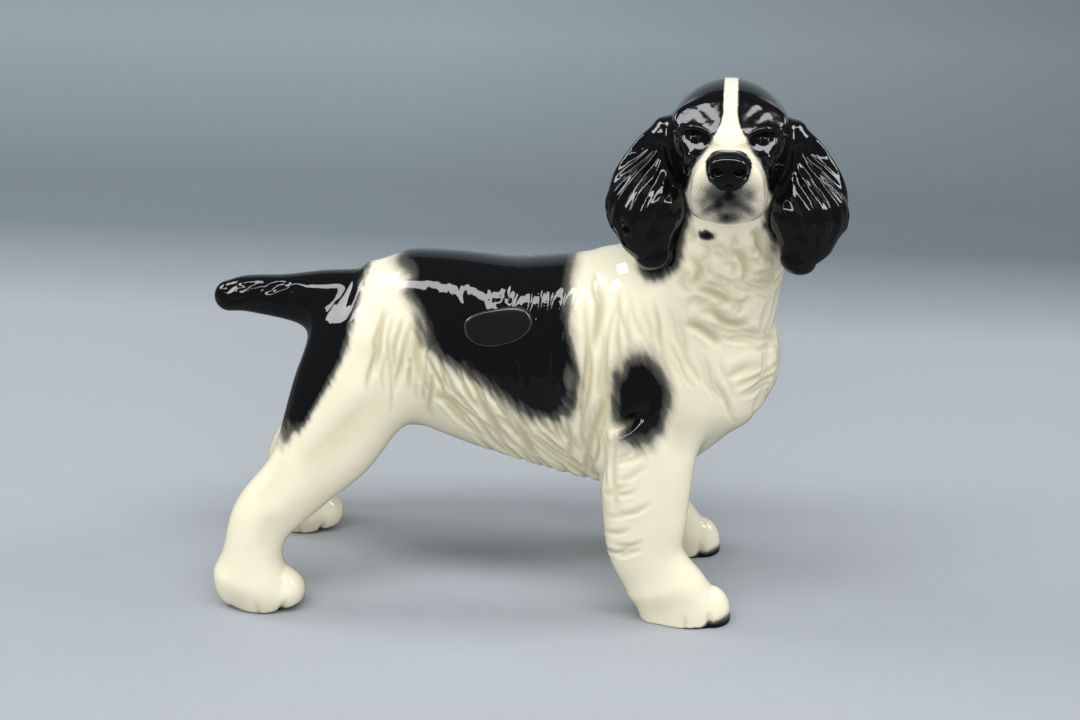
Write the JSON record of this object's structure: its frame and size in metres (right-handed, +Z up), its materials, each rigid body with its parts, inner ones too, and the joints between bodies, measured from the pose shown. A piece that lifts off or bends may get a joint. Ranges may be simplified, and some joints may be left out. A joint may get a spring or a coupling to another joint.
{
  "type": "dog figurine",
  "caption": "Glazed earthenware figurine of a standing spaniel with its head turned to one side, black and cream, an ornament for a shelf or mantelpiece.",
  "frame": {"origin": "on the ground under the middle of the figurine's outline", "axes": "+Z up, +X the way the dog's body faces, +Y to the dog's left; the head is turned to the dog's right, towards -Y"},
  "size_m": [0.2012, 0.088, 0.1772],
  "materials": {
    "cream_glaze": "glossy clear glaze over cream earthenware with airbrushed black patches",
    "black_glaze": "glossy clear glaze over black underglaze colour",
    "label_film": "satin dark film label, blank"
  },
  "bodies": {
    "root": {"body": "cream_glaze", "head": "black_glaze", "left_ear": "black_glaze", "right_ear": "black_glaze", "tail": "black_glaze", "left_foreleg": "cream_glaze", "right_foreleg": "cream_glaze", "left_hind_leg": "cream_glaze", "right_hind_leg": "cream_glaze", "flank_label": "label_film"}
  },
  "joints": []
}
